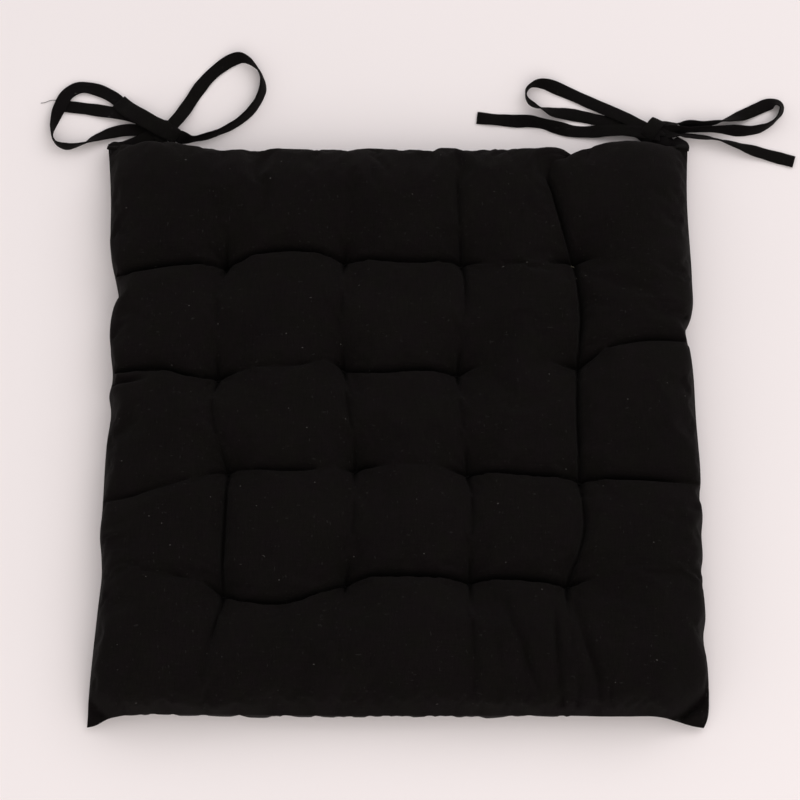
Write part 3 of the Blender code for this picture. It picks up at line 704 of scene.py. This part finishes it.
def detail_top(top, s, t):
    """The folded creases, puckers round the tufts and along the seam, and the cloth's small unevenness."""
    edge = HALF - np.maximum(np.abs(s), np.abs(t))
    fade = np.clip(edge / 0.005, 0, 1)
    deep = folds(s, t, lambda u: np.exp(-((u / FOLD_WIDTH) ** 2.4)))
    soft = folds(s, t, lambda u: np.exp(-((u / DIP_WIDTH) ** 1.6)))
    sharp = np.clip((soft - 0.0022) / 0.0030, 0, 1)
    sink = 1.25 * deep * sharp + 0.35 * soft * (1 - sharp)
    loose = np.zeros_like(s)
    for line, half_width in WRINKLES:
        loose = np.maximum(loose, line_depth(top, line, half_width))
    wave = np.zeros(s.shape)
    for line, half_width in EAR_HOLLOWS:
        wave -= line_depth(top, line, half_width)
    for line, half_width in EAR_CRESTS:
        wave += line_depth(top, line, half_width)
    for row, tt in enumerate(TUFT_LINES):
        for column, ts in enumerate(TUFT_LINES):
            away = np.hypot(s - ts, t - tt)
            angle = np.arctan2(t - tt, s - ts)
            count = 6 + (row * 3 + column * 5) % 4
            pucker = np.sin(count * angle + 1.7 * row + 2.3 * column)
            pucker += 0.5 * np.sin((count + 4) * angle - column)
            wave += PUCKER_HEIGHT * pucker * np.exp(-(((away - PUCKER_RING) / PUCKER_WIDTH) ** 2))
            sink = np.maximum(sink, NICK_DEPTH * np.exp(-((away / NICK_WIDTH) ** 1.3)))
    along = np.where(np.abs(s) > np.abs(t), t, s)
    seed = np.where(np.abs(s) > np.abs(t), np.sign(s) * 3.1, np.sign(t) * 7.7)
    rim = field(along, seed * 0.01, 85.0, 1.0) + 0.6 * field(along, seed * 0.013, 190.0, 4.0)
    wave += RIPPLE_HEIGHT * rim * np.exp(-(((edge - RIPPLE_INSET) / RIPPLE_WIDTH) ** 2))
    wave += UNEVEN_HEIGHT * field(s, t, 34.0, 2.0) + FINE_HEIGHT * field(s * 1.4, t, 150.0, 6.0)
    out = top.copy()
    out[..., 2] += (wave - sink - WRINKLE_GAIN * loose) * fade
    return out


def build_pad(materials):
    """The covers, and what lies in and on them."""
    lines = panel_lines()
    s, t = np.meshgrid(lines, lines)
    top, bottom = start_shape(s, t)
    top, bottom = settle_cloth(top, bottom, lines)
    places = fine_places(lines)
    flat = resample(np.stack([s, t], -1), places)
    s, t = flat[..., 0], flat[..., 1]
    top, bottom = resample(top, places), resample(bottom, places)
    top = detail_top(top, s, t)
    rim = np.zeros(s.shape, bool)
    rim[0], rim[-1], rim[:, 0], rim[:, -1] = True, True, True, True
    bottom[..., 2] = np.where(rim, top[..., 2], np.minimum(bottom[..., 2], top[..., 2] - 0.0005))
    bottom[..., :2] = np.where(rim[..., None], top[..., :2], bottom[..., :2])
    bottom[..., 2] = np.maximum(bottom[..., 2], 0.0002)
    top[..., 2] = np.maximum(top[..., 2], bottom[..., 2])
    n = len(s)
    ids = np.arange(n * n).reshape(n, n)
    corners = (ids[:-1, :-1], ids[:-1, 1:], ids[1:, 1:], ids[1:, :-1])
    quads = np.stack([corner.ravel() for corner in corners], 1)
    for side, points, faces in (("top", top, quads), ("bottom", bottom, quads[:, ::-1])):
        cover = mesh_object(f"pad_{side}_cover", points.reshape(-1, 3), faces, materials["cotton"])
        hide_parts(f"{side}_cover")
        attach(cover, "pad")
    build_filling(top, bottom, materials["wadding"])
    build_stitches(top, bottom, s, t, materials)
    build_seam(top, materials["thread"])


def lowest_near(height, reach):
    """The lowest value within a few grid steps of each point."""
    for axis in (0, 1):
        padded = np.pad(height, [(reach, reach) if a == axis else (0, 0) for a in (0, 1)], mode="edge")
        count = height.shape[axis]
        height = np.min([padded.take(range(k, k + count), axis) for k in range(2 * reach + 1)], axis=0)
    return height


def build_filling(top, bottom, material):
    """The wadding, a plain body that stays inside both covers."""
    keep, around, gap = slice(12, -12, 3), 5, 0.0015
    upper, lower = top.copy(), bottom.copy()
    upper[..., 2] = lowest_near(top[..., 2], around) - gap
    lower[..., 2] = -lowest_near(-bottom[..., 2], around) + gap
    upper, lower = upper[keep, keep], lower[keep, keep]
    middle = (upper[..., 2] + lower[..., 2]) / 2
    upper[..., 2] = np.maximum(upper[..., 2], middle + 0.0003)
    lower[..., 2] = np.minimum(lower[..., 2], middle - 0.0003)
    verts, faces, _, _ = panel_mesh(upper, lower)
    filling = mesh_object("wadding_sheet", verts, faces, material)
    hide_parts("filling")
    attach(filling, "pad")


def tube(points, radius, sides):
    """Vertices and faces of a closed round tube along points."""
    points = [Vector(p) for p in points]
    verts, faces = [], []
    normal = None
    for k, point in enumerate(points):
        along = (points[min(k + 1, len(points) - 1)] - points[max(k - 1, 0)]).normalized()
        if normal is None:
            normal = along.orthogonal().normalized()
        normal = (normal - along * normal.dot(along)).normalized()
        across = along.cross(normal)
        for e in range(sides):
            turn = 2 * math.pi * e / sides
            verts.append(point + normal * (radius * math.cos(turn)) + across * (radius * math.sin(turn)))
    for k in range(len(points) - 1):
        for e in range(sides):
            a, b = sides * k + e, sides * k + (e + 1) % sides
            faces.append((a, b, b + sides, a + sides))
    last = sides * (len(points) - 1)
    faces.append(tuple(reversed(range(sides))))
    faces.append(tuple(range(last, last + sides)))
    return verts, faces


def curve_through(points, step):
    """Points along one smooth curve through the given rows, closer together where those are."""
    rows = [np.array(p, float) for p in points]
    rows = [2 * rows[0] - rows[1]] + rows + [2 * rows[-1] - rows[-2]]
    out = []
    for p0, p1, p2, p3 in zip(rows, rows[1:], rows[2:], rows[3:]):
        knots = [0.0]
        for a, b in ((p0, p1), (p1, p2), (p2, p3)):
            knots.append(knots[-1] + max(np.linalg.norm((b - a)[:3]), 1e-6) ** 0.5)
        t0, t1, t2, t3 = knots
        pieces = max(2, math.ceil(np.linalg.norm((p2 - p1)[:3]) / step))
        for k in range(pieces):
            t = t1 + (t2 - t1) * k / pieces
            a1 = p0 * (t1 - t) / (t1 - t0) + p1 * (t - t0) / (t1 - t0)
            a2 = p1 * (t2 - t) / (t2 - t1) + p2 * (t - t1) / (t2 - t1)
            a3 = p2 * (t3 - t) / (t3 - t2) + p3 * (t - t2) / (t3 - t2)
            b1 = a1 * (t2 - t) / (t2 - t0) + a2 * (t - t0) / (t2 - t0)
            b2 = a2 * (t3 - t) / (t3 - t1) + a3 * (t - t1) / (t3 - t1)
            out.append(b1 * (t2 - t) / (t2 - t1) + b2 * (t - t1) / (t2 - t1))
    out.append(rows[-2])
    return out


def build_stitches(top, bottom, s, t, materials):
    """Each tuft's thread: a short loop above, the thread through the pad and a knotted bar below."""
    for row, column in np.ndindex(4, 4):
        ts, tt = TUFT_LINES[column], TUFT_LINES[3 - row]
        j, i = np.unravel_index(np.argmin((s - ts) ** 2 + (t - tt) ** 2), s.shape)
        up, down = Vector(top[j, i]), Vector(bottom[j, i])
        turn = 0.6 * math.sin(3.1 * row + 1.3 * column)
        reach = Vector((math.cos(turn), math.sin(turn), 0)) * 0.0021
        lift = Vector((0, 0, 0.0009))
        path = [
            up - reach + lift * 1.5, up - reach * 0.5 + lift * 1.7, up + lift * 1.2,
            up + reach * 0.5 + lift * 1.7, up + reach + lift * 1.2, up + reach * 0.6,
            up - lift * 2, (up + down) / 2, down + lift * 2,
            down - lift * 0.9, down + reach * 0.6 - lift * 1.2, down + reach - lift * 0.9,
        ]
        verts, faces = tube(curve_through(path, 0.001), TUFT_THREAD, 6)
        faded = (row, column) == (0, 3)
        material = materials["pale_thread" if faded else "thread"]
        stitch = mesh_object(f"tuft_thread_r{row + 1}c{column + 1}", verts, faces, material)
        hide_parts(f"tuft_stitch_r{row + 1}c{column + 1}")
        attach(stitch, "pad")


def build_seam(top, material):
    """The sewn edge just inside the rim, and the whipped stretch that closes the rear."""
    n = len(top)
    ring = np.concatenate([top[0], top[1:, -1], top[-1, -2::-1], top[-2:0:-1, 0]])
    inset = ring.copy()
    inset[:, :2] *= 1 - SEAM_INSET / HALF
    closing_from, closing_to = (2 * (n - 1) + int(n * share) for share in CLOSING_SPAN)
    edge = [inset[k % len(ring)] for k in range(closing_to, closing_from + len(ring), 3)]
    verts, faces = tube(edge, SEAM_THREAD, 5)
    seam = mesh_object("edge_stitching", verts, faces, material)
    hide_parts("edge_seam_thread")
    whip, steps, steps_per_turn = [], 4, 11
    for k in range((closing_to - closing_from) * steps + 1):
        at = closing_from + k / steps
        low = int(at)
        point = ring[low % len(ring)] * (1 - at + low) + ring[(low + 1) % len(ring)] * (at - low)
        turn = 2 * math.pi * k / steps_per_turn
        whip.append(Vector(point) + Vector((0, 0.0007 * math.cos(turn), 0.0011 * math.sin(turn))))
    verts, faces = tube(whip, CLOSING_THREAD, 5)
    closing = mesh_object("closing_stitching", verts, faces, material)
    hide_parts("closing_seam_thread")
    for obj in (seam, closing):
        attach(obj, "pad")


# ---------------------------------------------------------------- the ties
def strip_section(width, thick):
    """The folded strip's section: flat with soft edges, one edge thinner where it is sewn."""
    half, h = width / 2, thick / 2
    upper = [(-1.0, 0.0), (-0.95, 0.75), (-0.80, 1.0), (-0.45, 1.06), (0.0, 1.0), (0.45, 1.06),
             (0.74, 0.95), (0.80, 0.62), (0.90, 0.70), (0.97, 0.55), (1.0, 0.0)]
    lower = [(a, -b) for a, b in reversed(upper[1:-1])]
    return [(a * half, b * h) for a, b in upper + lower]


def rest_height(roll, width, thick):
    """How high the middle of a rolled strip lies when its lower edge rests on the floor."""
    turn = math.radians(roll)
    return abs(math.sin(turn)) * width / 2 + abs(math.cos(turn)) * thick / 2 + FLOOR_GAP


def tie_frames(route):
    """Middle, direction, width and face direction of the strip at each row of its route."""
    frames, side = [], None
    for k, row in enumerate(route):
        before, after = route[max(k - 1, 0)], route[min(k + 1, len(route) - 1)]
        along = Vector(after[:3] - before[:3]).normalized()
        level = Vector((-along.y, along.x, 0.0))
        if side is None:
            side = level.normalized()
        elif level.length > 0.15:
            level.normalize()
            side = level if level.dot(side) > 0 else -level
        turn = math.radians(row[3])
        across = side * math.cos(turn) + Vector((0, 0, math.sin(turn)))
        across = (across - along * across.dot(along)).normalized()
        frames.append((Vector(row[:3]), along, across, along.cross(across).normalized()))
    return frames


def tie_mesh(route_mm, width, thick, seed):
    """Vertices, faces and middle line of a soft flat strip along a route."""
    route = curve_through([(x * MM, y * MM, z * MM, roll) for x, y, z, roll in route_mm], TIE_STEP)
    for row in route:
        row[2] = max(row[2], rest_height(row[3], width, thick))
    verts, faces, section = [], [], strip_section(width, thick)
    count = len(section)
    travelled = 0.0
    frames = tie_frames(route)
    for k, (middle, along, across, normal) in enumerate(frames):
        if k:
            travelled += (middle - frames[k - 1][0]).length
        swell = 1 + 0.09 * noise.noise(Vector((travelled * 70, seed, 0)))
        lean = 0.16 * noise.noise(Vector((travelled * 110, seed, 9))) * min(1, travelled / 0.03)
        leaned = across * math.cos(lean) + normal * math.sin(lean)
        face = normal * math.cos(lean) - across * math.sin(lean)
        for a, b in section:
            ripple = 0.00016 * noise.noise(Vector((travelled * 260, a * 500, seed)))
            cup = 0.00025 * (1 - (2 * a / width) ** 2)
            verts.append(middle + leaned * (a * swell) + face * (b + ripple + cup))
    for k in range(len(frames) - 1):
        for e in range(count):
            a, b = count * k + e, count * k + (e + 1) % count
            faces.append((a, b, b + count, a + count))
    last = count * (len(frames) - 1)
    faces.append(tuple(reversed(range(count))))
    faces.append(tuple(range(last, last + count)))
    return verts, faces, [f[0] for f in frames]


def knot_band(name, body, route, width, material, seed):
    """The turn of tie that closes a knot: it moves with the bow."""
    verts, faces, _ = tie_mesh(route, width, BAND_THICK, seed)
    piece = mesh_object(name, verts, faces, material)
    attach(piece, body)
    return piece


def loose_thread(name, body, route, material):
    """A frayed thread at a tie's end."""
    points = [Vector(p[:3]) * MM for p in curve_through(route, 1.0)]
    verts, faces = tube(points, FRAY_THREAD, 5)
    piece = mesh_object(name, verts, faces, material)
    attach(piece, body)
    return piece


def build_tie(name, node, body, route, material, seed):
    """One tie, which rides with its bow."""
    verts, faces, middle = tie_mesh(route, TIE_WIDTH, TIE_THICK, seed)
    for v in verts:
        v.z = max(v.z, 0.0001)
    tie = mesh_object(name, verts, faces, material)
    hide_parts(node)
    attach(tie, body)


def build_ties(material, thread):
    left_band = knot_band("left_knot_band", "bow_left", LEFT_BAND, LEFT_BAND_WIDTH, material, 6.0)
    right_band = knot_band("right_knot_band", "bow_right", RIGHT_BAND, RIGHT_BAND_WIDTH, material, 7.0)
    frays = [
        loose_thread(f"left_fray_{k + 1}", "bow_left", route, thread) for k, route in enumerate(LEFT_FRAYS)
    ]
    build_tie("left_outer_tie", "tie_left_outer", "bow_left", LEFT_OUTER, material, 1.0)
    build_tie("left_inner_tie", "tie_left_inner", "bow_left", LEFT_INNER, material, 2.0)
    build_tie("right_outer_tie", "tie_right_outer", "bow_right", RIGHT_OUTER, material, 3.0)
    build_tie("right_inner_tie", "tie_right_inner", "bow_right", RIGHT_INNER, material, 4.0)
    for side, route in (("left", LEFT_ROOT), ("right", RIGHT_ROOT)):
        verts, faces, _ = tie_mesh(route, TIE_WIDTH, ROOT_THICK, 5.0)
        root = mesh_object(f"{side}_tie_root", verts, faces, material)
        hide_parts(f"tie_root_{side}")
        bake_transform(root)


# ---------------------------------------------------------------- everything
def main():
    bpy.context.scene.view_settings.view_transform = "Standard"
    add_camera()
    materials = {
        "cotton": cotton("black_cotton", (0.0014, 0.0009, 0.0008), (0.0042, 0.0030, 0.0029), 0.013),
        "tape": cotton("black_tie_cotton", (0.0016, 0.0012, 0.0012), (0.0046, 0.0037, 0.0036), 0.012),
        "thread": thread_material("black_thread", (0.004, 0.0036, 0.0035), (0.012, 0.010, 0.010)),
        "pale_thread": thread_material("faded_thread", (0.16, 0.14, 0.10), (0.42, 0.38, 0.30)),
        "wadding": wadding_material(),
    }
    build_ties(materials["tape"], materials["thread"])
    build_pad(materials)
    add_floor(floor_material())
    add_lights()


main()
